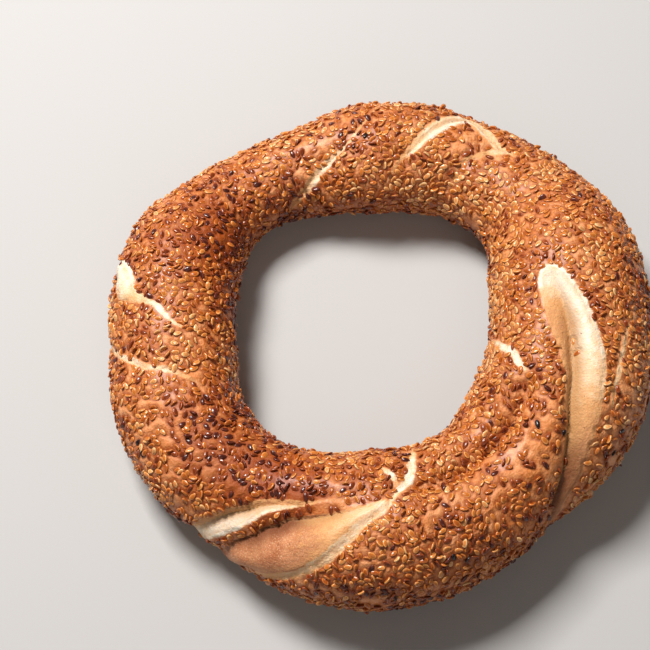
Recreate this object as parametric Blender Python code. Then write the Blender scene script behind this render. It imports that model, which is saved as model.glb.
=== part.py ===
# A simit: a ring of two dough ropes, twisted together, joined and baked flat on a tray.
# It lies on its underside with the seeded face up, in metres, with +Z up.
#
# Two angles, in degrees, name any place on it. The ring angle runs anticlockwise from +X,
# seen from above. The rope angle runs round the rope's section: 0 on the outer side,
# 90 on top, 180 on the side of the hole and 270 underneath.

import bpy
import numpy as np

NODE_NAME = "simit_ring"

RING_SEGMENTS = 144
ROPE_SEGMENTS = 28

ROPE_FLATNESS = 0.88       # half height of the rope over its half width
ROPE_SEAT = 0.86           # height of the rope's middle over its half height: the tray flattens the rest

# Ring angle, radius of the rope's middle and half width of the rope. A hand-rolled ring is
# thickest at the lower right and thinnest at the upper left, where the ropes were stretched.
ROPE_STATIONS = (
    (0, 0.0622, 0.0253),
    (25, 0.0648, 0.0236),
    (45, 0.0680, 0.0178),
    (60, 0.0666, 0.0172),
    (75, 0.0648, 0.0180),
    (90, 0.0632, 0.0182),
    (108, 0.0622, 0.0151),
    (122, 0.0638, 0.0137),
    (135, 0.0654, 0.0142),
    (152, 0.0656, 0.0183),
    (180, 0.0628, 0.0199),
    (210, 0.0648, 0.0193),
    (235, 0.0638, 0.0194),
    (252, 0.0632, 0.0219),
    (270, 0.0626, 0.0239),
    (288, 0.0618, 0.0231),
    (303, 0.0604, 0.0219),
    (317, 0.0596, 0.0227),
    (330, 0.0605, 0.0248),
    (345, 0.0618, 0.0259),
)

# The seams between the two ropes. Each runs from the outer side over the top to the hole as
# the ring angle grows. Its path gives (ring angle, rope angle), its depth and half width are
# in metres, and the sides of the ropes fall away towards it over a wider strip.
SEAMS = (
    {"path": ((52, 66), (58, 46), (64, 30), (70, 30), (75, 55), (78, 88), (81, 120), (85, 155)),
     "depth": 0.0028, "half_width": 0.0038},
    {"path": ((52, 55), (57, 82), (61, 105), (62, 132), (61, 165)),
     "depth": 0.0016, "half_width": 0.0032},
    {"path": ((84, -25), (88, 20), (92, 70), (100, 93), (109, 120), (121, 156)),
     "depth": 0.0018, "half_width": 0.0032},
    {"path": ((159, -30), (165, 12), (172, 52), (177, 85), (184, 112)),
     "depth": 0.0022, "half_width": 0.0038},
    {"path": ((179, -25), (184, 15), (190, 58), (196, 93), (203, 122)),
     "depth": 0.0015, "half_width": 0.0030},
    {"path": ((225, -35), (231, 15), (237, 50), (243, 80), (252, 97), (264, 108), (277, 114)),
     "depth": 0.0026, "half_width": 0.0042},
    {"path": ((239, -35), (248, 10), (255, 38), (262, 65), (270, 86), (278, 108), (285, 140)),
     "depth": 0.0026, "half_width": 0.0042},
    {"path": ((278, 108), (288, 115), (300, 121), (312, 123), (324, 119), (334, 119), (344, 143), (354, 175)),
     "depth": 0.0030, "half_width": 0.0042},
    {"path": ((303, -35), (312, 14), (318, 36), (326, 62), (334, 78), (344, 88), (354, 93), (5, 101), (15, 111)),
     "depth": 0.0044, "half_width": 0.0062},
)
SHOULDER_DEPTH = 0.45      # fall of the ropes' sides towards a seam, over the seam's depth
SHOULDER_WIDTH = 2.6       # width of that fall, over the seam's half width
SEAM_SAMPLES = 96          # points read along each seam's path
SEAM_END = 0.18            # share of a seam's path over which each end fades out

CRUST_COLOUR = (0.50, 0.21, 0.075, 1.0)
CRUST_ROUGHNESS = 0.55


def smooth_step(share):
    share = np.clip(share, 0.0, 1.0)
    return share * share * (3.0 - 2.0 * share)


def read_curve(knots, values, places):
    # A smooth curve through the values, whose slope at a knot follows its two neighbours.
    slopes = np.gradient(values, knots)
    index = np.clip(np.searchsorted(knots, places, side="right") - 1, 0, len(knots) - 2)
    gap = knots[index + 1] - knots[index]
    share = (places - knots[index]) / gap
    rise = smooth_step(share)
    start = share * (1.0 - share) ** 2 * gap * slopes[index]
    end = share ** 2 * (share - 1.0) * gap * slopes[index + 1]
    return values[index] * (1.0 - rise) + values[index + 1] * rise + start + end


def rope_at(ring_angle):
    # Radius of the rope's middle and its half width, anywhere round the ring.
    stations = np.array(ROPE_STATIONS)
    turns = np.array((-360.0, 0.0, 360.0))
    knots = (stations[:, 0] + turns[:, None]).ravel()
    angle = np.mod(ring_angle, 360.0)
    middle = read_curve(knots, np.tile(stations[:, 1], 3), angle)
    half_width = read_curve(knots, np.tile(stations[:, 2], 3), angle)
    return middle, half_width


def seam_dip(seam, ring_angle, rope_angle):
    # How far a seam sinks the surface: a narrow groove within a wider fall of its sides.
    path = np.array(seam["path"], dtype=float)
    ring_path = np.degrees(np.unwrap(np.radians(path[:, 0])))
    knots = np.arange(len(path), dtype=float)
    places = np.linspace(0.0, knots[-1], SEAM_SAMPLES)
    ring_line = read_curve(knots, ring_path, places)
    rope_line = read_curve(knots, path[:, 1], places)
    share = places / knots[-1]
    fade = smooth_step(share / SEAM_END) * smooth_step((1.0 - share) / SEAM_END)

    middle, half_width = rope_at(ring_angle)
    reach = middle + half_width * np.cos(np.radians(rope_angle))
    dip = np.zeros_like(ring_angle)
    for ring_point, rope_point, strength in zip(ring_line, rope_line, fade):
        along = np.mod(ring_angle - ring_point + 180.0, 360.0) - 180.0
        across = np.mod(rope_angle - rope_point + 180.0, 360.0) - 180.0
        distance = np.hypot(np.radians(along) * reach, np.radians(across) * half_width)
        share_of_width = distance / seam["half_width"]
        groove = np.exp(-share_of_width ** 2)
        shoulder = SHOULDER_DEPTH * np.exp(-(share_of_width / SHOULDER_WIDTH) ** 2)
        dip = np.maximum(dip, strength * seam["depth"] * (groove + shoulder) / (1.0 + SHOULDER_DEPTH))
    return dip


def ring_surface():
    # The points of the surface, as a grid round the ring and round the rope.
    ring_steps = np.arange(RING_SEGMENTS) * 360.0 / RING_SEGMENTS
    rope_steps = np.arange(ROPE_SEGMENTS) * 360.0 / ROPE_SEGMENTS
    ring_angle, rope_angle = np.meshgrid(ring_steps, rope_steps, indexing="ij")
    middle, half_width = rope_at(ring_angle)
    dip = sum(seam_dip(seam, ring_angle, rope_angle) for seam in SEAMS)

    half_height = half_width * ROPE_FLATNESS
    out = np.cos(np.radians(rope_angle))
    up = np.sin(np.radians(rope_angle))
    radius = middle + (half_width - dip) * out
    height = half_height * ROPE_SEAT + (half_height - dip) * up
    x = radius * np.cos(np.radians(ring_angle))
    y = radius * np.sin(np.radians(ring_angle))
    z = np.maximum(height, 0.0)
    return np.stack((x, y, z), axis=-1)


def centre_on_footprint(points):
    # The origin is the middle of the underside's box, on the tray.
    lowest = points.min(axis=(0, 1))
    highest = points.max(axis=(0, 1))
    middle = (lowest + highest) / 2.0
    return points - np.array((middle[0], middle[1], 0.0))


def ring_faces():
    # Four-sided faces round the ring and the rope, closed both ways, all facing out.
    faces = []
    for ring in range(RING_SEGMENTS):
        next_ring = (ring + 1) % RING_SEGMENTS
        for rope in range(ROPE_SEGMENTS):
            next_rope = (rope + 1) % ROPE_SEGMENTS
            faces.append((
                ring * ROPE_SEGMENTS + rope,
                next_ring * ROPE_SEGMENTS + rope,
                next_ring * ROPE_SEGMENTS + next_rope,
                ring * ROPE_SEGMENTS + next_rope,
            ))
    return faces


def crust_material():
    material = bpy.data.materials.new("baked_crust")
    material.use_nodes = True
    shader = material.node_tree.nodes["Principled BSDF"]
    shader.inputs["Base Color"].default_value = CRUST_COLOUR
    shader.inputs["Roughness"].default_value = CRUST_ROUGHNESS
    shader.inputs["Metallic"].default_value = 0.0
    return material


def make_simit():
    points = centre_on_footprint(ring_surface()).reshape(-1, 3)
    mesh = bpy.data.meshes.new(NODE_NAME)
    mesh.from_pydata(points.tolist(), [], ring_faces())
    mesh.shade_smooth()
    mesh.materials.append(crust_material())
    simit = bpy.data.objects.new(NODE_NAME, mesh)
    bpy.context.scene.collection.objects.link(simit)
    return simit


def main():
    for old in list(bpy.data.objects):
        bpy.data.objects.remove(old, do_unlink=True)
    make_simit()


main()
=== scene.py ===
import math

import bpy
import numpy as np
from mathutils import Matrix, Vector, noise
from mathutils.kdtree import KDTree


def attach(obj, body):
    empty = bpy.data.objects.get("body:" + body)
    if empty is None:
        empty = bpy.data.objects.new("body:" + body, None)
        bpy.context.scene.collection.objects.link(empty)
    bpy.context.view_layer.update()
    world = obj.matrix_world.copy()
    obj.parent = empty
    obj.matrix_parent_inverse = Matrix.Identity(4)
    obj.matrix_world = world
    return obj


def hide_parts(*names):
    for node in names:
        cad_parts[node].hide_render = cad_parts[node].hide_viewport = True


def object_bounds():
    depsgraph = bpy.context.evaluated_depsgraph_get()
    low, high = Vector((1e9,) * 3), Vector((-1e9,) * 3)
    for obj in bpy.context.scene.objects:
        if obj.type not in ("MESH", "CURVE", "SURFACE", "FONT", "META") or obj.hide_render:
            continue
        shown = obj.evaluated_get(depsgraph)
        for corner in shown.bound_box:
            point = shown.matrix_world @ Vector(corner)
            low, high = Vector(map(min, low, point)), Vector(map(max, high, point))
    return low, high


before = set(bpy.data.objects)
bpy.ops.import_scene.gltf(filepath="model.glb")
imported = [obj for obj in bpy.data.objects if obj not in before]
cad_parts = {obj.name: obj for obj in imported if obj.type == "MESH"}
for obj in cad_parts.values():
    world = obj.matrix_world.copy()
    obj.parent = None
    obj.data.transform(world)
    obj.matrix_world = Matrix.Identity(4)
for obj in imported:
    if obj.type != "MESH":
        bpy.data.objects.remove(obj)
cadLow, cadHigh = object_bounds()
millimetre = 0.001
farGap = 9.0             # a gap to a split or a seed is counted up to this (mm)
print("frame loaded")


# Two angles name a place on the ring, as in the design: the ring angle runs anticlockwise from +X
# and the rope angle runs from the outer side (0) over the top (90) to the side of the hole (180).

bread = {
    "ringSegments": 512,
    "ropeSegments": 188,
    "flatness": 0.88,          # half height of the rope over its half width
    "seat": 0.86,              # height of the rope's middle over its half height
    "stations": [              # ring angle, radius of the rope's middle, half width of the rope (mm)
        (0, 62.2, 25.3), (25, 64.8, 23.6), (45, 68.0, 17.8), (60, 66.6, 17.2), (75, 64.8, 18.0),
        (90, 63.2, 18.2), (108, 62.2, 15.1), (122, 63.8, 13.7), (135, 65.4, 14.2), (152, 65.6, 18.3),
        (180, 62.8, 19.9), (210, 64.8, 19.3), (235, 63.8, 19.4), (252, 63.2, 21.9), (270, 62.6, 23.9),
        (288, 61.8, 23.1), (303, 60.4, 21.9), (317, 59.6, 22.7), (330, 60.5, 24.8), (345, 61.8, 25.9),
    ],
    "shoulderDepth": 0.5,      # fall of the ropes' sides towards a seam, over the seam's depth
    "shoulderReach": 9.0,      # width of that fall (mm)
    "lipHeight": 0.28,         # how far torn crust curls up beside a split (mm)
    "lipWidth": 0.8,
    "lumpSize": 0.011,         # relief of the crust (m)
    "lumpHeight": 0.0011,
    "wrinkleSize": 0.0026,
    "wrinkleHeight": 0.00042,
    "doughRelief": 0.3,        # relief of the open dough over that of the crust
    "reliefStart": 0.3,        # it fades over a split's edge from this far outside it (mm)
    "reliefFade": 1.2,
    "footHeight": 0.0002,      # the underside stays this far above the tray (m)
}

# Where the two ropes meet and where the crust tore open. A row gives the ring angle and the rope angle
# of the deepest line, the open width to its left and to its right, the depth (mm), and how pale the
# dough is on its left and on its right, from 0 (baked crust) to 1 (white crumb).
seams = {
    "topRightSplit": [
        (51, 66, 0.5, 0.5, 0.8, 0.6, 0.5), (56, 65, 1.8, 1.5, 1.4, 0.8, 0.7),
        (60, 52, 2.4, 2.0, 1.8, 0.9, 0.8), (64, 38, 3.0, 2.2, 2.0, 0.95, 0.85),
        (67, 36, 3.6, 2.4, 2.2, 1.0, 0.9), (70, 50, 3.5, 2.4, 2.2, 1.05, 0.9),
        (72, 66, 3.1, 2.3, 2.0, 1.05, 0.9), (75, 86, 2.3, 1.8, 1.8, 0.95, 0.8),
        (78, 106, 1.6, 1.3, 1.5, 0.75, 0.6), (81, 118, 0.5, 0.5, 1.4, 0.5, 0.5),
        (85, 150, 0.1, 0.1, 0.5, 0.2, 0.2),
    ],
    "wedgeEdge": [
        (51, 62, 0.3, 0.3, 0.8, 0.6, 0.6), (56, 75, 1.3, 1.3, 1.4, 0.7, 0.8),
        (58, 83, 1.0, 1.0, 1.6, 0.5, 0.6), (60, 94, 0.9, 0.8, 1.6, 0.3, 0.5),
        (62, 103, 0.5, 0.6, 1.6, 0.2, 0.4), (63, 127, 0.1, 0.1, 1.5, 0.0, 0.0),
        (62, 165, 0.1, 0.1, 0.5, 0.0, 0.0),
    ],
    "topSplit": [
        (83, -24, 0.3, 0.3, 0.6, 0.3, 0.3), (88, 40, 0.3, 0.4, 1.2, 0.4, 0.4),
        (92, 70, 0.3, 0.4, 1.4, 0.6, 0.5), (96, 89, 0.5, 0.6, 1.6, 0.9, 0.7),
        (100, 99, 0.9, 0.9, 1.8, 0.95, 0.8), (103, 106, 1.3, 1.4, 2.0, 1.0, 0.8),
        (106, 112, 1.9, 1.5, 2.0, 1.0, 0.8), (110, 123, 1.9, 1.4, 2.0, 0.9, 0.7),
        (114, 138, 1.8, 1.4, 1.6, 0.6, 0.5), (117, 148, 1.4, 1.2, 1.4, 0.5, 0.4),
        (120, 160, 0.6, 0.6, 0.9, 0.4, 0.3), (124, 178, 0.1, 0.1, 0.4, 0.2, 0.2),
    ],
    "leftUpperSplit": [
        (160, -34, 0.5, 0.5, 0.8, 0.6, 0.6), (163, 2, 1.6, 2.2, 1.0, 0.9, 0.9),
        (165, 26, 2.6, 3.8, 0.7, 1.0, 1.0), (168, 39, 3.6, 4.8, 0.6, 1.0, 1.0),
        (171, 46, 3.6, 5.0, 0.7, 1.0, 0.9), (173, 54, 1.9, 2.6, 1.1, 0.7, 0.6),
        (174, 64, 1.4, 1.5, 1.5, 0.7, 0.6), (175, 72, 1.1, 1.2, 1.5, 1.0, 0.9),
        (177, 83, 0.8, 1.1, 1.4, 1.0, 1.0), (180, 91, 0.8, 0.7, 1.2, 1.0, 1.0),
        (182, 100, 0.5, 0.4, 0.8, 0.8, 0.8), (185, 114, 0.1, 0.1, 0.4, 0.2, 0.2),
    ],
    "leftLowerSplit": [
        (177, -38, 0.3, 0.3, 0.6, 0.3, 0.3), (184, 14, 0.8, 0.9, 1.4, 0.8, 0.7),
        (188, 42, 1.0, 1.0, 1.6, 0.95, 0.8), (190, 55, 1.0, 1.0, 1.6, 0.95, 0.85),
        (192, 66, 0.8, 1.0, 1.5, 0.9, 0.8), (193, 78, 0.7, 1.1, 1.5, 0.9, 0.9),
        (195, 91, 0.7, 1.0, 1.4, 0.8, 0.8), (198, 104, 0.6, 0.6, 1.0, 0.5, 0.5),
        (203, 122, 0.1, 0.1, 0.4, 0.1, 0.1),
    ],
    "lowerLeftSplit": [
        (224, -40, 0.3, 0.8, 0.8, 0.4, 0.4), (228, -6, 1.8, 4.4, 1.8, 0.45, 0.9),
        (231, 28, 2.4, 5.4, 2.6, 0.45, 1.0), (234, 51, 2.4, 5.7, 3.2, 0.45, 1.04),
        (237, 65, 2.2, 4.5, 3.2, 0.45, 1.02), (240, 78, 2.0, 3.0, 2.8, 0.45, 0.98),
        (244, 87, 1.6, 2.2, 2.4, 0.42, 0.9), (249, 93, 1.0, 1.3, 2.0, 0.4, 0.7),
        (255, 100, 0.35, 0.5, 1.6, 0.3, 0.4), (262, 104, 0.2, 0.2, 1.3, 0.2, 0.2),
        (270, 109, 0.1, 0.1, 0.8, 0.1, 0.1),
    ],
    "ridgeTrough": [
        (232, -40, 0.2, 0.5, 0.6, 0.2, 0.2), (236, -7, 0.4, 5.6, 1.6, 0.2, 0.2),
        (238, 23, 0.5, 9.4, 2.8, 0.2, 0.2), (241, 41, 0.6, 12.4, 3.8, 0.2, 0.2),
        (243, 56, 0.7, 14.4, 4.6, 0.2, 0.2), (246, 67, 0.7, 15.0, 4.8, 0.2, 0.2),
        (248, 76, 0.7, 15.4, 4.6, 0.2, 0.25), (253, 84, 0.7, 12.8, 4.0, 0.2, 0.38),
        (258, 89, 0.7, 9.4, 3.2, 0.3, 0.55), (263, 94, 0.7, 6.5, 2.4, 0.4, 0.7),
        (268, 97, 0.6, 4.0, 1.6, 0.6, 0.85), (272, 101, 0.4, 1.2, 1.0, 0.6, 0.9),
    ],
    "lowerSplit": [
        (240, -26, 0.3, 0.3, 0.4, 0.3, 0.3), (244, -4, 1.6, 0.5, 0.6, 0.5, 0.5),
        (248, 10, 2.2, 0.6, 0.8, 0.6, 0.6), (254, 31, 2.8, 0.7, 0.9, 0.72, 0.6),
        (260, 53, 3.4, 0.7, 0.9, 0.8, 0.7), (264, 70, 3.6, 0.7, 0.9, 0.85, 0.7),
        (268, 84, 3.2, 0.7, 0.9, 0.85, 0.8), (272, 91, 2.2, 0.7, 0.9, 0.85, 0.8),
        (275, 101, 0.7, 0.7, 0.9, 0.8, 0.8), (278, 112, 1.2, 1.3, 1.0, 1.0, 1.0),
        (281, 118, 1.4, 1.4, 1.1, 1.0, 1.0), (283, 129, 1.4, 1.3, 1.1, 1.0, 1.0),
        (285, 141, 1.0, 0.9, 0.8, 0.9, 0.9), (287, 160, 0.1, 0.1, 0.4, 0.1, 0.1),
    ],
    "innerNick": [
        (277, 115, 0.3, 0.3, 0.5, 0.8, 0.8), (276, 121, 0.9, 0.9, 0.8, 0.95, 0.95),
        (274, 127, 0.9, 0.9, 0.8, 0.9, 0.9), (272, 133, 0.2, 0.2, 0.4, 0.6, 0.6),
    ],
    "innerCrease": [
        (276, 112, 0.1, 0.1, 0.8, 0.0, 0.0), (286, 110, 0.1, 0.1, 4.0, 0.0, 0.0),
        (298, 111, 0.1, 0.1, 6.0, 0.0, 0.0), (311, 111, 0.1, 0.1, 6.4, 0.0, 0.0),
        (322, 111, 0.1, 0.1, 5.8, 0.0, 0.0), (332, 114, 0.1, 0.1, 4.2, 0.0, 0.0),
        (337, 119, 0.4, 0.4, 2.0, 0.8, 0.8), (340, 127, 1.2, 1.2, 1.2, 1.0, 1.0),
        (344, 136, 1.4, 1.3, 1.1, 1.0, 1.0), (347, 147, 1.3, 1.1, 1.0, 1.0, 1.0),
        (350, 157, 0.7, 0.7, 0.8, 1.0, 1.0), (356, 180, 0.1, 0.1, 0.5, 0.0, 0.0),
    ],
    "rightSplit": [
        (304, -40, 0.3, 0.5, 0.8, 0.2, 0.2), (312, 4, 1.1, 2.4, 2.4, 0.22, 0.20),
        (314, 24, 1.0, 3.2, 3.2, 0.26, 0.22), (318, 38, 1.2, 4.6, 3.6, 0.36, 0.26),
        (324, 57, 1.5, 6.4, 4.2, 0.4, 0.32), (328, 67, 1.5, 7.4, 4.5, 0.42, 0.42),
        (332, 75, 1.6, 9.0, 4.8, 0.42, 0.54), (336, 82, 1.8, 10.0, 5.0, 0.42, 0.68),
        (342, 88, 2.6, 10.4, 5.1, 0.42, 0.84), (347, 93, 3.8, 10.2, 5.0, 0.4, 0.94),
        (352, 96, 5.2, 9.4, 4.7, 0.4, 1.0), (357, 99, 6.0, 8.3, 4.0, 0.42, 1.02),
        (2, 102, 6.0, 7.4, 3.2, 0.48, 1.02), (7, 105, 5.8, 6.0, 2.4, 0.74, 1.04),
        (11, 108, 5.0, 5.0, 1.8, 1.06, 1.06), (14, 110, 3.4, 3.4, 1.2, 1.0, 1.0),
        (16, 111, 0.6, 0.6, 0.6, 1.0, 1.0),
    ],
    "farRightCrack": [
        (336, 50, 0.2, 0.2, 0.4, 0.5, 0.5), (340, 54, 0.7, 0.7, 0.8, 0.68, 0.68),
        (346, 57, 0.8, 0.9, 1.0, 0.74, 0.74), (352, 56, 0.8, 0.9, 1.0, 0.74, 0.74),
        (357, 52, 0.7, 0.7, 0.8, 0.68, 0.68), (1, 42, 0.2, 0.2, 0.5, 0.4, 0.4),
    ],
}
swellings = {       # how far the dough rose in a split (mm)
    "leftUpperSplit": 1.2,
    "ridgeTrough": 1.0,
    "topRightSplit": 0.7,
    "rightSplit": 0.6,
}
domes = ("leftUpperSplit",)    # splits whose dough rose in one dome, with no valley along the middle
groove = {
    "samples": 60,             # places read along each seam
    "reach": 20.0,             # how far a seam is felt beside it (mm)
    "steepness": (1.2, 2.2),   # how soon a split's left and right slopes fall away from its edges
    "slopeShare": 0.75,        # share of the depth that the open slopes take
    "lineShare": 0.5,          # share of the depth along the deepest line
    "lineWidth": 2.6,
    "bakedUnder": 0.35,        # paleness under which a split has no torn lip
    "noDough": 0.15,           # paleness under which a seam shows no open dough
    "bakedStep": 0.2,          # a side this much less pale than the other is its split's baked side
    "taperStart": 0.06,        # share of a seam's length over which its lips fade at its ends
    "taperEnd": 0.04,
    "fullSwelling": 4.0,       # open width that lets the dough rise fully (mm)
    "darkDepth": 4.0,          # depth that gets the full painted shade along its line; a shallower one gets less (mm)
    "shallowGain": 1.7,
    "crustGain": 2.0,          # less painted shade where there is no open dough, and on a split's baked side
    "bakedGain": 1.7,
}


def smoothStep(share):
    share = np.clip(share, 0.0, 1.0)
    return share * share * (3.0 - 2.0 * share)


def readCurve(knots, values, places):
    # a smooth curve through the values, whose slope at a knot follows its two neighbours
    slopes = np.gradient(values, knots)
    index = np.clip(np.searchsorted(knots, places, side="right") - 1, 0, len(knots) - 2)
    gap = knots[index + 1] - knots[index]
    share = (places - knots[index]) / gap
    rise = smoothStep(share)
    start = share * (1.0 - share) ** 2 * gap * slopes[index]
    end = share ** 2 * (share - 1.0) * gap * slopes[index + 1]
    return values[index] * (1.0 - rise) + values[index + 1] * rise + start + end


def ropeAt(ringAngle):
    stations = np.array(bread["stations"], dtype=float)
    turns = np.array((-360.0, 0.0, 360.0))
    knots = (stations[:, 0] + turns[:, None]).ravel()
    angle = np.mod(ringAngle, 360.0)
    middle = readCurve(knots, np.tile(stations[:, 1], 3), angle) * millimetre
    halfWidth = readCurve(knots, np.tile(stations[:, 2], 3), angle) * millimetre
    return middle, halfWidth


def surfaceAt(ringAngle, ropeAngle, sink=0.0):
    # a place on the smooth ring, sunk below it, before the tray flattens the underside
    middle, halfWidth = ropeAt(ringAngle)
    halfHeight = halfWidth * bread["flatness"]
    ring, rope = np.radians(ringAngle), np.radians(ropeAngle)
    radius = middle + (halfWidth - sink) * np.cos(rope)
    height = halfHeight * bread["seat"] + (halfHeight - sink) * np.sin(rope)
    return np.stack((radius * np.cos(ring), radius * np.sin(ring), height), axis=-1)


def outwardAt(ringAngle, ropeAngle):
    ring, rope = np.radians(ringAngle), np.radians(ropeAngle)
    return np.stack((np.cos(rope) * np.cos(ring), np.cos(rope) * np.sin(ring), np.sin(rope)), axis=-1)


def readSeam(rows):
    # places along a seam, with its widths, depth and paleness there
    rows = np.array(rows, dtype=float)
    rows[:, 0] = np.degrees(np.unwrap(np.radians(rows[:, 0])))
    knots = np.arange(len(rows), dtype=float)
    places = np.linspace(0.0, knots[-1], groove["samples"])
    ringAngle, ropeAngle = (readCurve(knots, rows[:, i], places) for i in (0, 1))
    line = surfaceAt(ringAngle, ropeAngle) / millimetre
    measures = [np.interp(places, knots, values) for values in rows[:, 2:].T]
    return line, outwardAt(ringAngle, ropeAngle), measures


def acrossSeam(points, seam, reach):
    # for the points within reach of a seam: their distance across it, positive on its left, and the
    # seam's widths, depth and paleness beside them, all in mm
    line, outward, measures = readSeam(seam)
    middle = (line.max(axis=0) + line.min(axis=0)) / 2
    spread = np.linalg.norm(line - middle, axis=1).max() + reach
    near = np.nonzero(np.linalg.norm(points - middle, axis=1) < spread)[0]
    spots = points[near]
    nearest = np.full(len(near), np.inf)
    across = np.zeros(len(near))
    along = np.zeros(len(near))
    for i in range(len(line) - 1):
        step = line[i + 1] - line[i]
        share = np.clip((spots - line[i]) @ step / (step @ step), 0.0, 1.0)
        offset = spots - line[i] - share[:, None] * step
        gap = np.linalg.norm(offset, axis=1)
        leftward = np.cross(outward[i], step)
        closer = gap < nearest
        nearest[closer] = gap[closer]
        across[closer] = (gap * np.where(offset @ leftward > 0.0, 1.0, -1.0))[closer]
        along[closer] = (i + share)[closer]
    within = nearest < reach
    index = np.arange(len(line))
    beside = [np.interp(along[within], index, value) for value in measures]
    return near[within], across[within], along[within] / (len(line) - 1), beside


def shapeSeams(points):
    # how far the seams sink each point, and what the crust's paint needs to know about them
    sink = np.zeros(len(points))
    opening = np.full(len(points), -farGap)      # how far inside a split's edges (mm), negative outside
    creaseGap = np.full(len(points), farGap)     # distance from a split's deepest line (mm), pushed out where its painted shade is lighter
    pale = np.zeros(len(points))
    for name, rows in seams.items():
        near, across, along, beside = acrossSeam(points, rows, groove["reach"])
        left, right, depth, paleLeft, paleRight = beside
        width = np.where(across > 0.0, left, right)
        whiteness = np.where(across > 0.0, paleLeft, paleRight)
        bakedSide = whiteness < np.where(across > 0.0, paleRight, paleLeft) - groove["bakedStep"]
        share = np.abs(across) / width
        steepness = np.where(across > 0.0, *groove["steepness"])
        slope = depth * np.where(share < 1.0, (1.0 - np.minimum(share, 1.0)) ** steepness, 0.0)
        narrow = depth * groove["lineShare"] * np.exp(-(across / groove["lineWidth"]) ** 2)
        shoulder = depth * bread["shoulderDepth"] * np.exp(-(across / bread["shoulderReach"]) ** 2)
        lip = np.exp(-((np.abs(across) - width) / bread["lipWidth"]) ** 2)
        lip = lip * (whiteness > groove["bakedUnder"])
        ends = smoothStep(along / groove["taperStart"]) * smoothStep((1.0 - along) / groove["taperEnd"])
        rise = 0.5 + 0.5 * share if name in domes else share
        swelling = swellings.get(name, 0.0) * np.sin(math.pi * np.clip(rise, 0.0, 1.0))
        swelling = swelling * smoothStep(width / groove["fullSwelling"])
        hollow = np.maximum(slope * groove["slopeShare"], narrow)
        sink[near] += hollow + shoulder - bread["lipHeight"] * lip * ends - swelling
        inside = width - np.abs(across)
        wins = inside > opening[near]
        opening[near] = np.maximum(opening[near], inside)
        pale[near[wins]] = whiteness[wins]
        # how far the painted shade of the deepest line reaches: less for a shallow seam, a seam with no
        # open dough, and a split's baked side
        shallow = np.maximum(0.0, groove["darkDepth"] - depth) * groove["shallowGain"]
        shallow += groove["crustGain"] * (whiteness < groove["noDough"]) + groove["bakedGain"] * bakedSide
        creaseGap[near] = np.minimum(creaseGap[near], np.abs(across) + shallow)
    return sink * millimetre, opening, creaseGap, pale


def selectOnly(piece):
    bpy.ops.object.select_all(action="DESELECT")
    piece.select_set(True)
    bpy.context.view_layer.objects.active = piece


def displace(piece, name, size, height, group):
    # a raised and sunken relief over the whole piece, applied
    texture = bpy.data.textures.new(name, "CLOUDS")
    texture.noise_scale = size
    texture.noise_depth = 2
    selectOnly(piece)
    bpy.ops.object.modifier_add(type="DISPLACE")
    relief = piece.modifiers[-1]
    relief.texture = texture
    relief.texture_coords = "LOCAL"
    relief.direction = "NORMAL"
    relief.strength = height
    relief.mid_level = 0.5
    relief.vertex_group = group
    bpy.ops.object.modifier_apply(modifier=relief.name)


def readPoints(mesh):
    points = np.empty(len(mesh.vertices) * 3)
    mesh.vertices.foreach_get("co", points)
    return points.reshape(-1, 3)


def writePoints(mesh, points):
    mesh.vertices.foreach_set("co", np.ascontiguousarray(points).ravel())
    mesh.update()


def addAttribute(mesh, name, values):
    made = mesh.attributes.new(name, "FLOAT", "POINT")
    made.data.foreach_set("value", np.asarray(values, dtype=np.float32))


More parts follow.
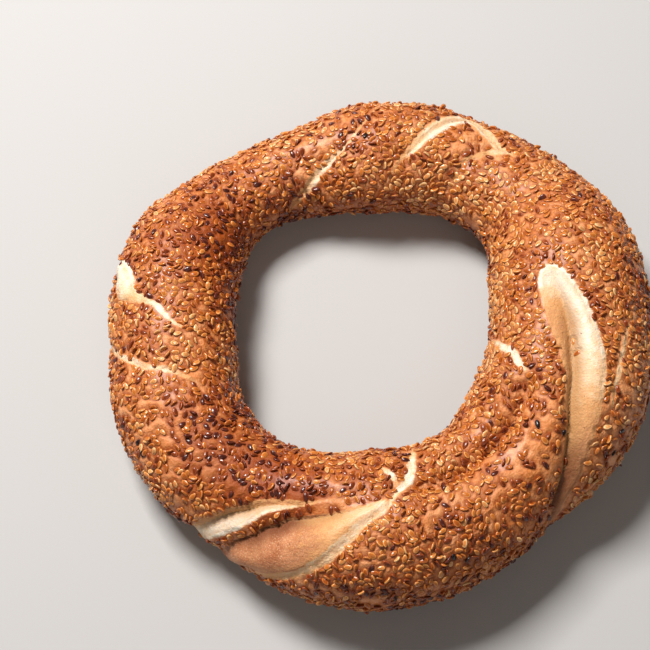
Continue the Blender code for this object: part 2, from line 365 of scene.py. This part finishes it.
def makeBread():
    bpy.ops.object.select_all(action="DESELECT")
    rings, ropes = bread["ringSegments"], bread["ropeSegments"]
    plainMiddle, plainHalf = 0.063, 0.020      # a round ring, only to count its steps
    bpy.ops.mesh.primitive_torus_add(
        major_segments=rings // 2, minor_segments=ropes // 2,
        major_radius=plainMiddle, minor_radius=plainHalf,
    )
    piece = bpy.context.object
    piece.name = piece.data.name = "simit_crust"
    bpy.ops.object.mode_set(mode="EDIT")
    bpy.ops.mesh.select_all(action="SELECT")
    bpy.ops.mesh.subdivide(number_cuts=1)
    bpy.ops.object.mode_set(mode="OBJECT")

    # every point's step round the ring and round the rope
    x, y, z = readPoints(piece.data).T
    ringTurn = np.arctan2(y, x) / (2 * math.pi)
    ropeTurn = np.arctan2(z, np.hypot(x, y) - plainMiddle) / (2 * math.pi)
    ringStep = np.round(ringTurn * rings).astype(int) % rings
    ropeStep = np.round(ropeTurn * ropes).astype(int) % ropes
    order = np.empty((rings, ropes), dtype=int)
    order[ringStep, ropeStep] = np.arange(len(x))
    ringAngle, ropeAngle = ringStep * 360.0 / rings, ropeStep * 360.0 / ropes
    smooth = surfaceAt(ringAngle, ropeAngle) / millimetre
    sink, opening, creaseGap, pale = shapeSeams(smooth)
    points = surfaceAt(ringAngle, ropeAngle, sink)
    middle = (points.max(axis=0) + points.min(axis=0)) / 2
    cadMiddle = (cadLow + cadHigh) / 2
    points[:, 0] += cadMiddle.x - middle[0]
    points[:, 1] += cadMiddle.y - middle[1]
    writePoints(piece.data, points)
    print("ring shaped, with", len(seams), "seams")

    crustGroup = piece.vertex_groups.new(name="crust")
    doughShare = smoothStep((opening + bread["reliefStart"]) / bread["reliefFade"])
    relief = 1.0 - (1.0 - bread["doughRelief"]) * doughShare
    for level in np.linspace(bread["doughRelief"], 1.0, 8):      # eight steps, 0.1 apart
        chosen = np.nonzero(np.abs(relief - level) <= 0.05)[0]
        crustGroup.add(chosen.tolist(), float(level), "REPLACE")
    displace(piece, "lumps", bread["lumpSize"], bread["lumpHeight"], "crust")
    displace(piece, "wrinkles", bread["wrinkleSize"], bread["wrinkleHeight"], "crust")
    points = readPoints(piece.data)
    points[:, 2] = np.maximum(points[:, 2], bread["footHeight"])
    writePoints(piece.data, points)
    for name, values in (("opening", opening), ("creaseGap", creaseGap), ("paleness", pale)):
        addAttribute(piece.data, name, values)
    selectOnly(piece)
    bpy.ops.object.shade_smooth()
    print("crust relief made")
    return piece, order, opening


seeds = {
    "length": 2.85,            # mm
    "width": 1.44,
    "thickness": 0.60,
    "segments": 10,
    "taper": (0.30, 0.12),     # narrowing towards the point
    "fullness": 1.09,          # widening that makes up for it
    "ringReach": 1.14,         # how near the rim a face's raised ring comes
    "dish": 0.52,              # thickness in the middle of a face over that at its raised ring
    "tries": 90000,
    "randomSeed": 11,
    "spacing": 0.94,           # least distance between the middle lines of two seeds (mm)
    "sizes": (0.82, 1.1),
    "clearOfSplits": 0.45,     # seeds' middles stay this far outside a split's edge (mm)
    "strays": 0.0025,          # share of seeds that land on the open dough, over the rest
    "keep": 0.97,              # share of seeds that stick where nothing thins them
    "patchiness": 0.42,        # how strongly that share changes from patch to patch
    "patches": (110.0, 300.0),       # how close the wide and the small patches lie (per m)
    "underSlope": -0.5,        # a normal this low belongs to the underside
    "underShare": 0.25,        # how many seeds stick there, over the rest
    "pressedSlope": -0.55,     # and below this one the tray pressed the seeds in
    "pressedLift": 0.5,
    "lowest": 0.0012,          # no seed's middle lies lower than this (m)
    "directions": 5,           # directions tried for each seed
    "bodyShare": 0.29,         # half length of a seed's middle line over its length
    "shadeShare": 0.30,        # and of the line that the crust's painted contact shadow and toasting are measured from
    "cellSize": 3.2,           # size of the boxes that neighbours are looked up in (mm)
    "restless": 0.5,           # share of seeds that stand on an edge or lean on a neighbour
    "roll": (0.72, 0.24),      # spread of the restless and of the lying seeds (radians)
    "pitch": (0.26, 0.13),
    "lift": (-0.16, 0.12),     # how far a seed sits from the crust (mm), and more for one that leans
    "rollLift": 0.24,
    "pitchLift": 0.28,
    "widths": (0.9, 1.12),
    # ring angle, rope angle, reach (mm) and share of seeds kept there
    "zones": [
        (318, 79, 9, 0.45), (311, 63, 10, 0.58), (326, 90, 7, 0.60), (303, 70, 14, 0.80),
        (228, 66, 7, 0.75), (236, 84, 5, 0.65), (238, 50, 3, 0.6), (247, 76, 4, 0.45),
        (256, 91, 6, 0.3), (62, 78, 7, 0.45), (40, 100, 12, 0.85), (215, 62, 14, 0.62),
        (322, 34, 14, 0.45), (336, 45, 10, 0.5), (350, 40, 12, 0.75), (104, 80, 8, 0.8),
    ],
}

seedKinds = {
    # share of the seeds, and the colours that one seed's tone runs between
    "pale": {"share": 0.085, "light": (0.90, 0.54, 0.235), "deep": (0.66, 0.255, 0.070)},
    "golden": {"share": 0.285, "light": (0.83, 0.36, 0.105), "deep": (0.53, 0.155, 0.024)},
    "amber": {"share": 0.335, "light": (0.69, 0.228, 0.046), "deep": (0.38, 0.084, 0.011)},
    "toasted": {"share": 0.205, "light": (0.40, 0.086, 0.018), "deep": (0.18, 0.032, 0.007)},
    "dark": {"share": 0.088, "light": (0.17, 0.032, 0.017), "deep": (0.065, 0.013, 0.008)},
    "charred": {"share": 0.002, "light": (0.030, 0.018, 0.018), "deep": (0.010, 0.006, 0.007)},
}
# where the bake is darker, with painted shade on some flanks, or lighter below 0 with painted light: ring
# angle, rope angle, reach (mm), strength
bakeAndShadePatches = [
    (124, 61, 9, 0.6), (218, 84, 11, 0.3), (215, 45, 10, 0.5), (300, 97, 8, 0.6),
    (240, 62, 4, 0.8), (246, 84, 4, 0.8), (150, 122, 18, 0.9), (212, 132, 15, 0.6),
    (239, 122, 16, 0.9), (178, 150, 12, 0.3), (282, 10, 18, 0.5), (302, 20, 16, 0.5),
    (236, 104, 15, 0.9), (150, 98, 17, 0.9), (210, 92, 13, 0.4), (30, 58, 14, 0.4),
    (92, 82, 11, 0.35), (78, 148, 16, -0.9), (229, 66, 9, 0.6), (246, 100, 8, 0.4),
]
charredSpots = [    # ring angle and rope angle of the seeds that burnt black
    (325, 101), (286, 54), (288, 45), (334, 43), (330, 25), (326, 73), (205, 34), (207, 30),
]
oven = {
    "patchSize": 0.055,        # how close the patches of heat lie (per mm)
    "patches": 0.75,           # how strongly a seed's toasting follows them
    "scatter": 0.42,           # and how much it differs from seed to seed
    "lowDownAndShade": 0.5,            # more near the tray: toasting there, with painted shade on the low flanks
    "lowHeight": 20.0,         # up to this height (mm)
    "bakeAndShade": 0.5,               # and in the patches of darker bake and painted shade
    "burnt": 9.0,              # heat of the seeds that burnt black
}


def makeSeedShape():
    # one seed in mm: a flat drop with a point, a rounded rim and slightly dished faces, and for each
    # corner 0 at the middle of a face, 1 on its raised ring or 2 on the outer rim
    bpy.ops.object.select_all(action="DESELECT")
    bpy.ops.mesh.primitive_uv_sphere_add(segments=seeds["segments"], ring_count=4, radius=1.0)
    piece = bpy.context.object
    points = readPoints(piece.data)
    pole = np.abs(points[:, 2]) > 0.9
    rim = np.abs(points[:, 2]) < 0.1
    along, across, up = points.T
    lean = np.where(rim, 1.0, seeds["ringReach"])
    taper, roundness = seeds["taper"]
    drop = 1.0 - taper * along - roundness * along ** 2
    ringRise = 1.41          # brings the raised ring to full thickness
    shape = np.stack((
        along * lean * seeds["length"] / 2,
        across * lean * drop * seeds["width"] / 2 * seeds["fullness"],
        np.where(pole, seeds["dish"] * up, up * ringRise) * seeds["thickness"] / 2,
    ), axis=-1)
    writePoints(piece.data, shape)
    faces = [tuple(polygon.vertices) for polygon in piece.data.polygons]
    shape = readPoints(piece.data)
    bpy.ops.object.delete()
    return shape, faces, 1.0 - pole + rim


def keepShare(spots, ringPoints):
    # the share of seeds that stick at each spot
    wide, small = seeds["patches"]
    patches = np.array([
        noise.noise(Vector(spot) * wide) + noise.noise(Vector(spot) * small) for spot in spots
    ])
    share = np.clip(seeds["keep"] + seeds["patchiness"] * patches, 0.0, 1.0)
    for ringAngle, ropeAngle, reach, kept in seeds["zones"]:
        centre = ringPoints(ringAngle, ropeAngle)
        gap = np.linalg.norm(spots - centre, axis=1)
        share *= 1.0 - (1.0 - kept) * np.exp(-(gap / (reach * millimetre)) ** 2)
    return share


def scatterSeeds(piece, order, opening):
    # picks spots over the crust and turns each seed so that it fits beside its neighbours
    rings, ropes = order.shape
    grid = readPoints(piece.data)[order]
    openGrid = opening[order]
    ringEdge, ropeEdge = np.roll(grid, -1, axis=0) - grid, np.roll(grid, -1, axis=1) - grid
    area = np.linalg.norm(np.cross(ringEdge, ropeEdge), axis=-1)

    # slopes read over a few steps, so that fine wrinkles don't tip the seeds
    ringSlope = np.roll(grid, -2, axis=0) - np.roll(grid, 2, axis=0)
    ropeSlope = np.roll(grid, -2, axis=1) - np.roll(grid, 2, axis=1)
    outward = np.cross(ringSlope, ropeSlope)
    outward /= np.linalg.norm(outward, axis=-1, keepdims=True) + 1e-12

    def ringPoints(ringAngle, ropeAngle):
        return grid[int(ringAngle / 360 * rings) % rings, int(ropeAngle / 360 * ropes) % ropes]

    rng = np.random.default_rng(seeds["randomSeed"])
    weight = area * (grid[..., 2] > seeds["lowest"])
    weight *= np.where(openGrid < -seeds["clearOfSplits"], 1.0, seeds["strays"])
    weight = weight.ravel() / weight.sum()
    cells = rng.choice(len(weight), size=seeds["tries"], p=weight)
    ring, rope = cells // ropes, cells % ropes
    u, v = rng.random(len(cells))[:, None], rng.random(len(cells))[:, None]

    def blend(values):
        # between the four corners of each cell
        nextRing, nextRope = (ring + 1) % rings, (rope + 1) % ropes
        a, b = values[ring, rope], values[nextRing, rope]
        c, d = values[ring, nextRope], values[nextRing, nextRope]
        return a * (1 - u) * (1 - v) + b * u * (1 - v) + c * (1 - u) * v + d * u * v

    spots, normals = blend(grid), blend(outward)
    normals /= np.linalg.norm(normals, axis=1, keepdims=True)
    spots /= millimetre
    ringDirection = np.stack((-spots[:, 1], spots[:, 0], np.zeros(len(spots))), axis=-1)
    ringDirection /= np.linalg.norm(ringDirection, axis=1, keepdims=True)
    sideways = np.cross(normals, ringDirection)
    sideways /= np.linalg.norm(sideways, axis=1, keepdims=True)
    forwards = np.cross(sideways, normals)
    turns = rng.random((len(spots), seeds["directions"])) * math.pi
    sizes = rng.uniform(*seeds["sizes"], len(spots))

    boxes = {}
    chosen = []
    halfLine = seeds["length"] * seeds["bodyShare"]
    for i in range(len(spots)):
        spot = spots[i]
        key = tuple((spot // seeds["cellSize"]).astype(int))
        beside = [
            seed
            for dx in (-1, 0, 1) for dy in (-1, 0, 1) for dz in (-1, 0, 1)
            for seed in boxes.get((key[0] + dx, key[1] + dy, key[2] + dz), ())
        ]
        best, bestRoom = None, 0.0
        others = np.array(beside).reshape(-1, 3) if beside else None
        for turn in turns[i]:
            direction = forwards[i] * math.cos(turn) + sideways[i] * math.sin(turn)
            ends = np.stack((spot - direction * halfLine, spot, spot + direction * halfLine))
            if others is None:
                best, bestRoom = (direction, ends), farGap
                break
            room = np.linalg.norm(ends[:, None] - others[None], axis=-1).min()
            if room > bestRoom:
                best, bestRoom = (direction, ends), room
        if bestRoom < seeds["spacing"] * sizes[i]:
            continue
        boxes.setdefault(key, []).append(best[1])
        chosen.append((i, best[0]))
    index = np.array([number for number, direction in chosen])
    lengthways = np.array([direction for number, direction in chosen])
    share = keepShare(spots[index] * millimetre, ringPoints)
    share *= np.where(normals[index, 2] < seeds["underSlope"], seeds["underShare"], 1.0)
    kept = rng.random(len(index)) < share
    index, lengthways = index[kept], lengthways[kept]
    print("seeds placed:", len(kept), "kept:", len(index))
    return spots[index], normals[index], lengthways, sizes[index], rng


def bakeAndShadeAt(points):
    # how much darker the bake and the painted shade are at each point, or lighter below 0 with painted
    # light, given in mm
    bakeAndShade = np.zeros(len(points))
    for ringAngle, ropeAngle, reach, strength in bakeAndShadePatches:
        gap = np.linalg.norm(points - surfaceAt(ringAngle, ropeAngle) / millimetre, axis=1)
        bakeAndShade += strength * np.exp(-(gap / reach) ** 2)
    return bakeAndShade


def shadeCrust(piece, spots, lengthways):
    # how far each point of the crust lies from the nearest seed's middle line (mm), for the painted
    # contact shadow, and its bake and painted shade
    half = seeds["shadeShare"]
    steps = np.linspace(-half, half, 3) * seeds["length"]
    stops = np.concatenate([spots + lengthways * step for step in steps])
    tree = KDTree(len(stops))
    for i, stop in enumerate(stops):
        tree.insert(stop, i)
    tree.balance()
    points = readPoints(piece.data) / millimetre
    gaps = [tree.find(point)[2] for point in points]
    addAttribute(piece.data, "seedGap", np.minimum(gaps, farGap))
    addAttribute(piece.data, "bakeAndShade", bakeAndShadeAt(points))


def makeSeeds(piece, order, opening):
    shape, faces, rim = makeSeedShape()
    spots, normals, lengthways, sizes, rng = scatterSeeds(piece, order, opening)
    count = len(spots)

    # a roll and a pitch for each seed: half lie flat, the rest stand on an edge or lean on a neighbour
    restless = rng.random(count) < seeds["restless"]
    roll = rng.normal(0.0, 1.0, count) * np.where(restless, *seeds["roll"])
    pitch = rng.normal(0.0, 1.0, count) * np.where(restless, *seeds["pitch"])
    lift = rng.uniform(*seeds["lift"], count)
    lift = lift + np.abs(roll) * seeds["rollLift"] + np.abs(pitch) * seeds["pitchLift"]
    lift *= np.where(normals[:, 2] < seeds["pressedSlope"], seeds["pressedLift"], 1.0)
    crossways = np.cross(normals, lengthways)
    tipped = lengthways * np.cos(pitch)[:, None] + normals * np.sin(pitch)[:, None]
    upright = np.cross(tipped, crossways)
    rolled = crossways * np.cos(roll)[:, None] + upright * np.sin(roll)[:, None]
    face = np.cross(tipped, rolled)
    flip = np.where(rng.random(count) < 0.5, -1.0, 1.0)[:, None]
    tipped, rolled = tipped * flip, rolled * flip
    middles = spots + normals * lift[:, None]
    widths = rng.uniform(*seeds["widths"], count)
    local = shape[None] * sizes[:, None, None]
    placed = (
        middles[:, None]
        + local[..., 0:1] * tipped[:, None]
        + local[..., 1:2] * widths[:, None, None] * rolled[:, None]
        + local[..., 2:3] * face[:, None]
    ) * millimetre
    placed[..., 2] = np.maximum(placed[..., 2], bread["footHeight"])

    # toasting follows patches of heat, so that dark seeds gather in places
    heat = np.array([noise.noise(Vector(spot) * oven["patchSize"]) for spot in spots]) * oven["patches"]
    heat += rng.normal(0.0, oven["scatter"], count)
    # seeds darker near the tray and in the bake patches: toasting, with painted shade there
    heat += oven["lowDownAndShade"] * (1.0 - smoothStep(spots[:, 2] / oven["lowHeight"]))
    heat += oven["bakeAndShade"] * bakeAndShadeAt(spots)
    for ringAngle, ropeAngle in charredSpots:
        gap = np.linalg.norm(spots - surfaceAt(ringAngle, ropeAngle) / millimetre, axis=1)
        heat[np.argmin(gap)] = oven["burnt"]
    rank = np.argsort(np.argsort(heat)) / count
    tones = rng.random(count)
    shadeCrust(piece, spots, lengthways * sizes[:, None])
    start = 0.0
    for name, kind in seedKinds.items():
        mine = np.nonzero((rank >= start) & (rank < start + kind["share"]))[0]
        start += kind["share"]
        mesh = bpy.data.meshes.new("sesame_" + name)
        corners = placed[mine].reshape(-1, 3)
        allFaces = [
            tuple(corner + seed * len(shape) for corner in polygon)
            for seed in range(len(mine)) for polygon in faces
        ]
        mesh.from_pydata(corners.tolist(), [], allFaces)
        mesh.shade_smooth()
        addAttribute(mesh, "tone", np.repeat(tones[mine], len(shape)))
        addAttribute(mesh, "alongSeed", np.tile(shape[:, 0] / seeds["length"] * 2, len(mine)))
        addAttribute(mesh, "rim", np.tile(rim, len(mine)))
        seedPiece = bpy.data.objects.new(mesh.name, mesh)
        bpy.context.scene.collection.objects.link(seedPiece)
        seedPiece.data.materials.append(makeSeedPaint(name, kind))
        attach(seedPiece, "root")
        print(mesh.name, len(mine), "seeds")


# Materials are written as sums of wires: a wire is one socket of a node.

class Wire:
    def __init__(self, paint, socket):
        self.paint = paint
        self.socket = socket

    def join(self, operation, first, second):
        return self.paint.node("ShaderNodeMath", {"operation": operation}, {0: first, 1: second})

    def __add__(self, other):
        return self.join("ADD", self, other)

    def __sub__(self, other):
        return self.join("SUBTRACT", self, other)

    def __rsub__(self, other):
        return self.join("SUBTRACT", other, self)

    def __mul__(self, other):
        return self.join("MULTIPLY", self, other)

    __radd__ = __add__
    __rmul__ = __mul__

    def ramp(self, low, high):
        # 0 below low and 1 above high, smooth between
        settings = {"interpolation_type": "SMOOTHSTEP", "clamp": True}
        inputs = {0: self, 1: low, 2: high, 3: 0.0, 4: 1.0}
        return self.paint.node("ShaderNodeMapRange", settings, inputs)


class Paint:
    def __init__(self, name):
        self.material = bpy.data.materials.new(name)
        self.material.use_nodes = True
        self.tree = self.material.node_tree
        self.shader = self.tree.nodes["Principled BSDF"]

    def node(self, kind, settings=None, inputs=None, output=0):
        made = self.tree.nodes.new(kind)
        for name, value in (settings or {}).items():
            setattr(made, name, value)
        for place, value in (inputs or {}).items():
            if isinstance(value, Wire):
                self.tree.links.new(value.socket, made.inputs[place])
            else:
                made.inputs[place].default_value = value
        return Wire(self, made.outputs[output])

    def attribute(self, name):
        return self.node("ShaderNodeAttribute", {"attribute_name": name}, output="Fac")

    def places(self):
        return self.node("ShaderNodeTexCoord", output="Object")

    def grain(self, scale, detail=3.0, roughness=0.55):
        inputs = {"Vector": self.places(), "Scale": scale, "Detail": detail, "Roughness": roughness}
        return self.node("ShaderNodeTexNoise", None, inputs)

    def mix(self, factor, first, second):
        wires = {0: factor, 6: self.colour(first), 7: self.colour(second)}
        return self.node("ShaderNodeMix", {"data_type": "RGBA"}, wires, output=2)

    def colour(self, value):
        return value if isinstance(value, Wire) else (*value, 1.0)

    def bump(self, height, distance, strength):
        inputs = {"Height": height, "Distance": distance, "Strength": strength}
        return self.node("ShaderNodeBump", None, inputs)

    def set(self, **values):
        for name, value in values.items():
            place = self.shader.inputs[name.replace("_", " ")]
            if isinstance(value, Wire):
                self.tree.links.new(value.socket, place)
            else:
                place.default_value = value


crustLook = {
    "light": (0.83, 0.358, 0.150),
    "golden": (0.70, 0.232, 0.058),
    "brown": (0.44, 0.105, 0.015),
    "gap": (0.29, 0.050, 0.005),          # painted contact shadow with some toasting between close seeds, and the darkest of the bake and painted shade patches
    # the tray's browning, with painted shade on the low flanks
    "underside": (0.17, 0.042, 0.008),
    "dough": (0.60, 0.250, 0.110),        # dough that swelled out early and baked
    "blush": (0.40, 0.120, 0.042),        # browning on its highest parts
    "grain": (0.86, 0.520, 0.300),        # fine pale grains over it
    "foldShade": (0.14, 0.034, 0.007),         # painted shade where it dips under the crust
    "tan": (0.76, 0.375, 0.145),
    "cream": (0.87, 0.61, 0.37),
    "white": (0.90, 0.80, 0.65),
    "hollow": (0.50, 0.255, 0.095),       # painted shade on the deep side of a wide split
    # painted shade along a split's deepest line
    "creaseShade": (0.33, 0.140, 0.045),
    "speck": (0.24, 0.075, 0.020),
    "grains": {                           # how fine each pattern is (per m)
        "coarse": 75.0, "middle": 330.0, "fine": 1500.0, "crumb": 3200.0, "dust": 2300.0, "specks": 560.0,
    },
    "footEdge": 0.001,                    # the tray's browning and the painted shade of the low flanks are full below this height (m)
    "footFade": 0.022,                    # and gone above this one
    "bumpHeight": 0.0009,
}


def makeCrustPaint():
    paint = Paint("baked_crust")
    opening, creaseGap, paleness, seedGap, bakeAndShade = (
        paint.attribute(name) for name in ("opening", "creaseGap", "paleness", "seedGap", "bakeAndShade")
    )
    grains = crustLook["grains"]
    coarse, middle = paint.grain(grains["coarse"]), paint.grain(grains["middle"], 4.0)
    fine, crumb = paint.grain(grains["fine"]), paint.grain(grains["crumb"], 3.0, 0.7)
    up = paint.node("ShaderNodeSeparateXYZ", None, {0: paint.places()}, output="Z")

    # the crust: golden, browner in patches and on its fine ridges, darker bake with painted shade in the
    # listed patches, painted contact shadow between close seeds, and darker towards the bottom: the
    # tray's browning with painted shade on the low flanks
    browning = (coarse * 0.9 + middle * 0.9 - 0.62).ramp(0.02, 0.62)
    crust = paint.mix(browning, crustLook["light"], crustLook["golden"])
    crust = paint.mix((middle * 0.6 + fine * 0.6).ramp(0.56, 0.82) * 0.8, crust, crustLook["brown"])
    # darker bake, with painted shade on some flanks, in the listed patches; the strongest turn to the
    # darkest colour
    crust = paint.mix(bakeAndShade * (0.35 + 0.5 * middle), crust, crustLook["brown"])
    crust = paint.mix(bakeAndShade.ramp(0.6, 1.7) * 0.6, crust, crustLook["gap"])
    # painted contact shadow round the seeds, with some toasting
    crust = paint.mix((1.0 - seedGap.ramp(0.5, 1.4)) * 0.8, crust, crustLook["gap"])
    # darker towards the bottom: the tray's browning, with painted shade on the low flanks
    trayedAndShaded = 1.0 - up.ramp(crustLook["footEdge"], crustLook["footFade"])
    crust = paint.mix(trayedAndShaded * (0.55 + 0.45 * middle), crust, crustLook["underside"])

    # the open dough: tan where it baked, cream and white where it opened late
    edge = opening + (fine - 0.5) * 1.1 + (middle - 0.5) * 1.4
    whiteness = paleness + (middle - 0.5) * 0.60 + (crumb - 0.5) * 0.65
    blush = (coarse * 0.5 + middle * 0.45 + crumb * 0.25).ramp(0.52, 0.72) * 0.85
    dough = paint.mix(blush, crustLook["dough"], crustLook["blush"])
    dust = paint.grain(grains["dust"], 2.0, 0.6)
    dough = paint.mix(dust.ramp(0.54, 0.66) * 0.55, dough, crustLook["grain"])
    dough = paint.mix(whiteness.ramp(0.25, 0.55), dough, crustLook["tan"])
    dough = paint.mix(whiteness.ramp(0.5, 0.85), dough, crustLook["cream"])
    dough = paint.mix(whiteness.ramp(0.82, 1.08), dough, crustLook["white"])
    torn = 1.0 - 0.6 * whiteness.ramp(0.85, 1.05)
    dough = paint.mix((1.0 - edge.ramp(0.0, 0.8)) * 0.7 * torn, dough, crustLook["tan"])
    sides = (1.0 - edge.ramp(1.0, 3.4)) * opening.ramp(1.0, 1.6)
    dough = paint.mix(sides * 0.4, dough, crustLook["tan"])
    # painted shade: the fold under the crust, the shadowed deep side of a wide split, and a dark line
    # along each split's deepest line
    deepSideShade = paint.mix(paleness.ramp(0.25, 0.4), crustLook["foldShade"], crustLook["hollow"])
    dough = paint.mix((1.0 - creaseGap.ramp(1.3, 5.5)) * 0.85, dough, deepSideShade)
    dough = paint.mix((1.0 - creaseGap.ramp(0.15, 0.9)) * 0.5, dough, crustLook["creaseShade"])
    specks = paint.grain(grains["specks"], 1.0, 0.3)
    dough = paint.mix(specks.ramp(0.745, 0.775) * 0.7, dough, crustLook["speck"])
    colour = paint.mix(edge.ramp(-0.25, 0.25), crust, dough)

    pressed = seedGap.ramp(0.6, 2.0) * 0.5
    height = fine * 0.4 + middle * 0.5 + crumb * 0.12 + pressed
    paint.set(
        Base_Color=colour,
        Roughness=0.36 + 0.22 * middle + 0.20 * edge.ramp(-0.2, 0.3),
        Normal=paint.bump(height, crustLook["bumpHeight"], 0.85),
        Specular_IOR_Level=0.30,
        Subsurface_Weight=0.12,
        Subsurface_Radius=(1.0, 0.35, 0.12),
        Subsurface_Scale=0.0012,
        Coat_Weight=0.16,
        Coat_Roughness=0.22,
    )
    return paint.material


def makeSeedPaint(name, kind):
    paint = Paint("sesame_" + name)
    tone, along, rim = (paint.attribute(attribute) for attribute in ("tone", "alongSeed", "rim"))
    speckle = paint.grain(900.0, 2.0)

    # painted highlight on the raised ring, deeper in the dish, and painted shadow round the outer rim
    share = tone * 0.7 + (speckle - 0.5) * 0.9 + along * 0.14 + 0.45 - rim.ramp(0.6, 1.0) * 0.8
    colour = paint.mix(share.ramp(-0.15, 0.85), kind["light"], kind["deep"])
    rimShadow = tuple(channel * 0.35 for channel in kind["deep"])
    paint.set(
        Base_Color=paint.mix(rim.ramp(1.2, 2.0) * 0.65, colour, rimShadow),
        Roughness=0.14 + 0.2 * speckle,
        Normal=paint.bump(speckle, 0.0002, 0.5),
        Specular_IOR_Level=0.5,
        Subsurface_Weight=0.15,
        Subsurface_Radius=(1.0, 0.4, 0.15),
        Subsurface_Scale=0.0008,
    )
    return paint.material


crustPiece, crustOrder, openingGap = makeBread()
crustPiece.data.materials.clear()
crustPiece.data.materials.append(makeCrustPaint())
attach(crustPiece, "root")
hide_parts("simit_ring")
makeSeeds(crustPiece, crustOrder, openingGap)


stage = {
    "floorSize": 3.0,
    "floorColour": (0.52, 0.515, 0.51),
    "aim": (-0.0173, 0.0060, 0.017),     # the middle of the picture
    "distance": 0.56,
    "elevation": 70.0,
    "picturedWidth": 0.2044,             # metres across the picture at the aim
    "sensorWidth": 36.0,
    "floorGap": 0.0002,                  # the floor lies this far below the bread (m)
}

lights = {
    "window": {
        "from": (-0.38, 0.50, 0.90),     # its direction from the ring
        "distance": 1.1,
        "size": 0.36,
        "power": 18.6,
        "colour": (1.0, 0.97, 0.94),
    },
    "fill": {
        "from": (0.15, -0.70, 0.75),
        "distance": 1.4,
        "size": 0.9,
        "power": 2.2,
        "colour": (1.0, 0.95, 0.90),
    },
}
sky = {"colour": (1.0, 0.90, 0.80), "strength": 0.10}


def makeStage():
    bpy.ops.object.select_all(action="DESELECT")
    height = cadLow.z - stage["floorGap"]
    bpy.ops.mesh.primitive_plane_add(size=stage["floorSize"], location=(0, 0, height))
    floor = bpy.context.object
    floor.name = "floor"
    paint = Paint("pale_floor")
    grain = paint.grain(3.0)
    base = stage["floorColour"]
    shade = tuple(channel * 0.96 for channel in base)
    paint.set(Base_Color=paint.mix(grain, base, shade), Roughness=0.8)
    floor.data.materials.append(paint.material)

    for name, light in lights.items():
        direction = Vector(light["from"]).normalized()
        lamp = bpy.data.lights.new(name, "AREA")
        lamp.shape = "SQUARE"
        lamp.size = light["size"]
        lamp.energy = light["power"]
        lamp.color = light["colour"]
        holder = bpy.data.objects.new(name, lamp)
        holder.location = direction * light["distance"]
        holder.rotation_euler = direction.to_track_quat("Z", "Y").to_euler()
        bpy.context.scene.collection.objects.link(holder)

    world = bpy.data.worlds.new("studio")
    world.use_nodes = True
    background = world.node_tree.nodes["Background"]
    background.inputs[0].default_value = (*sky["colour"], 1.0)
    background.inputs[1].default_value = sky["strength"]
    bpy.context.scene.world = world
    bpy.context.scene.view_settings.view_transform = "Standard"


def makeCamera():
    lens = bpy.data.cameras.new("camera")
    lens.sensor_width = stage["sensorWidth"]
    lens.lens = stage["sensorWidth"] * stage["distance"] / stage["picturedWidth"]
    lens.clip_start = 0.01
    camera = bpy.data.objects.new("camera", lens)
    rise = math.radians(stage["elevation"])
    back = Vector((0.0, -math.cos(rise), math.sin(rise)))
    camera.location = Vector(stage["aim"]) + back * stage["distance"]
    camera.rotation_euler = back.to_track_quat("Z", "Y").to_euler()
    bpy.context.scene.collection.objects.link(camera)
    bpy.context.scene.camera = camera


makeStage()
makeCamera()
print("stage, lights and camera set")
